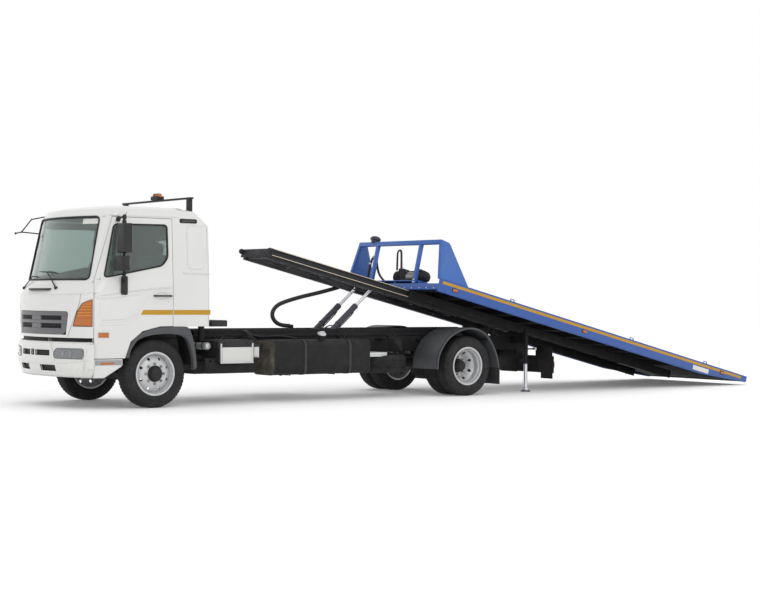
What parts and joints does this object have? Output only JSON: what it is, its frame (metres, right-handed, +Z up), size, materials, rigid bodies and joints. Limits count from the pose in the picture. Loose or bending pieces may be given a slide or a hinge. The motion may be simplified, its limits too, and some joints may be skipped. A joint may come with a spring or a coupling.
{
  "type": "flatbed tow truck",
  "caption": "Cab-over recovery truck whose flat deck slides back on a tilting frame, with tilt cab, opening doors, steered and twin wheels, lift cylinders, winch and legs.",
  "frame": {"origin": "middle of the overall length and width, on the ground", "axes": "+X towards the front bumper, +Y to the truck's left, +Z up"},
  "size_m": [13.4816, 2.864, 3],
  "materials": {
    "cab_paint": "gloss",
    "deck_paint": "satin",
    "frame_paint": "satin",
    "wheel_paint": "satin",
    "cast_parts": "rough",
    "spring_steel": "rough",
    "rod_steel": "polished",
    "bare_steel": "worn",
    "tyre": "matte",
    "hose_rubber": "matte",
    "glass": "clear",
    "black_plastic": "matte",
    "white_plastic": "matte",
    "amber_lamp": "gloss",
    "clear_lamp": "gloss",
    "red_lamp": "gloss",
    "seat_fabric": "woven",
    "winch_paint": "satin"
  },
  "bodies": {
    "chassis": {"ladder_frame": "frame_paint", "sub_frame": "frame_paint", "bed_pivots": "cast_parts", "engine_block": "cast_parts", "propeller_shaft": "frame_paint", "front_axle": "cast_parts", "rear_axle": "cast_parts", "leaf_springs": "spring_steel", "fuel_tank": "frame_paint", "battery_box": "white_plastic", "tool_box": "frame_paint", "silencer": "bare_steel", "spare_tyre": "tyre", "spare_rim": "wheel_paint", "rear_mudguards": "black_plastic", "tail_frame": "frame_paint", "rear_lamps": "red_lamp", "intake_box": "black_plastic", "hose_loop": "hose_rubber"},
    "cab": {"cab_shell": "cab_paint", "cab_glass": "glass", "corner_lamps": "amber_lamp", "grille": "black_plastic", "cab_steps": "cab_paint", "arch_liners": "black_plastic", "bumper": "cab_paint", "head_lamps": "clear_lamp", "dashboard": "black_plastic", "seats": "seat_fabric", "beacon_bar": "amber_lamp", "mirror_stay_right": "black_plastic", "wipers": "black_plastic"},
    "door_left": {"door_left": "cab_paint", "door_glass_left": "glass", "mirror_left": "black_plastic"},
    "door_right": {"door_right": "cab_paint", "door_glass_right": "glass"},
    "steer_left": {"knuckle_left": "cast_parts"},
    "steer_right": {"knuckle_right": "cast_parts"},
    "wheel_front_left": {"rim_front_left": "wheel_paint", "tyre_front_left": "tyre"},
    "wheel_front_right": {"rim_front_right": "wheel_paint", "tyre_front_right": "tyre"},
    "wheels_rear_left": {"rims_rear_left": "wheel_paint", "tyres_rear_left": "tyre"},
    "wheels_rear_right": {"rims_rear_right": "wheel_paint", "tyres_rear_right": "tyre"},
    "tilt_frame": {"tilt_frame": "frame_paint"},
    "deck": {"deck_rails": "deck_paint", "deck_floor": "deck_paint", "deck_runners": "frame_paint", "headboard": "deck_paint", "winch": "winch_paint", "lashing_rings": "bare_steel", "side_markers": "amber_lamp"},
    "winch_drum": {"winch_drum": "bare_steel"},
    "lift_barrels": {"lift_barrels": "frame_paint"},
    "lift_rods": {"lift_rods": "rod_steel"},
    "leg_left": {"leg_left": "rod_steel"},
    "leg_right": {"leg_right": "rod_steel"}
  },
  "joints": [
    {"name": "steer_left", "type": "hinge", "parent": "chassis", "child": "steer_left", "pos_m": [5.44082, 0.77, 0.468], "axis": [0, 0, 1], "range_deg": [-35, 35]},
    {"name": "steer_right", "type": "hinge", "parent": "chassis", "child": "steer_right", "pos_m": [5.44082, -0.77, 0.468], "axis": [0, 0, 1], "range_deg": [-35, 35]},
    {"name": "spin_front_left", "type": "hinge", "parent": "steer_left", "child": "wheel_front_left", "pos_m": [5.44082, 0.95, 0.468], "axis": [0, 1, 0], "continuous": true},
    {"name": "spin_front_right", "type": "hinge", "parent": "steer_right", "child": "wheel_front_right", "pos_m": [5.44082, -0.95, 0.468], "axis": [0, 1, 0], "continuous": true},
    {"name": "spin_rear_left", "type": "hinge", "parent": "chassis", "child": "wheels_rear_left", "pos_m": [-0.08918, 0.881, 0.468], "axis": [0, 1, 0], "continuous": true},
    {"name": "spin_rear_right", "type": "hinge", "parent": "chassis", "child": "wheels_rear_right", "pos_m": [-0.08918, -0.881, 0.468], "axis": [0, 1, 0], "continuous": true},
    {"name": "cab_tilt", "type": "hinge", "parent": "chassis", "child": "cab", "pos_m": [6.54082, 0, 0.6], "axis": [0, 1, 0], "range_deg": [0, 45]},
    {"name": "door_left", "type": "hinge", "parent": "cab", "child": "door_left", "pos_m": [6.37882, 1.084, 1.64], "axis": [0, 0, -1], "range_deg": [0, 70]},
    {"name": "door_right", "type": "hinge", "parent": "cab", "child": "door_right", "pos_m": [6.37882, -1.084, 1.64], "axis": [0, 0, 1], "range_deg": [0, 70]},
    {"name": "bed_tilt", "type": "hinge", "parent": "chassis", "child": "tilt_frame", "pos_m": [-1.29918, 0, 0.985], "axis": [0, -1, 0], "range_deg": [-13.1, 0], "deforming": ["hose_loop"]},
    {"name": "deck_slide", "type": "slide", "parent": "tilt_frame", "child": "deck", "axis": [0.974, 0, 0.2266], "range_m": [0, 3.5]},
    {"name": "drum_spin", "type": "hinge", "parent": "deck", "child": "winch_drum", "pos_m": [0.26273, 0, 1.86183], "axis": [0, 1, 0], "continuous": true},
    {"name": "lift_swing", "type": "hinge", "parent": "chassis", "child": "lift_barrels", "pos_m": [2.14082, 0, 0.8], "axis": [0, -1, 0], "range_deg": [0, 20.53]},
    {"name": "lift_extend", "type": "slide", "parent": "lift_barrels", "child": "lift_rods", "axis": [-0.7655, 0, 0.6435], "range_m": [-0.37, 0]},
    {"name": "leg_left", "type": "slide", "parent": "chassis", "child": "leg_left", "axis": [0, 0, 1], "range_m": [0, 0.38]},
    {"name": "leg_right", "type": "slide", "parent": "chassis", "child": "leg_right", "axis": [0, 0, 1], "range_m": [0, 0.38]}
  ],
  "couplings": [
    {"joint": "steer_right", "follows": "steer_left", "ratio": 1},
    {"joint": "lift_swing", "follows": "bed_tilt", "ratio": -1.5667},
    {"joint": "lift_extend", "follows": "bed_tilt", "m_per_rad": 1.614}
  ]
}
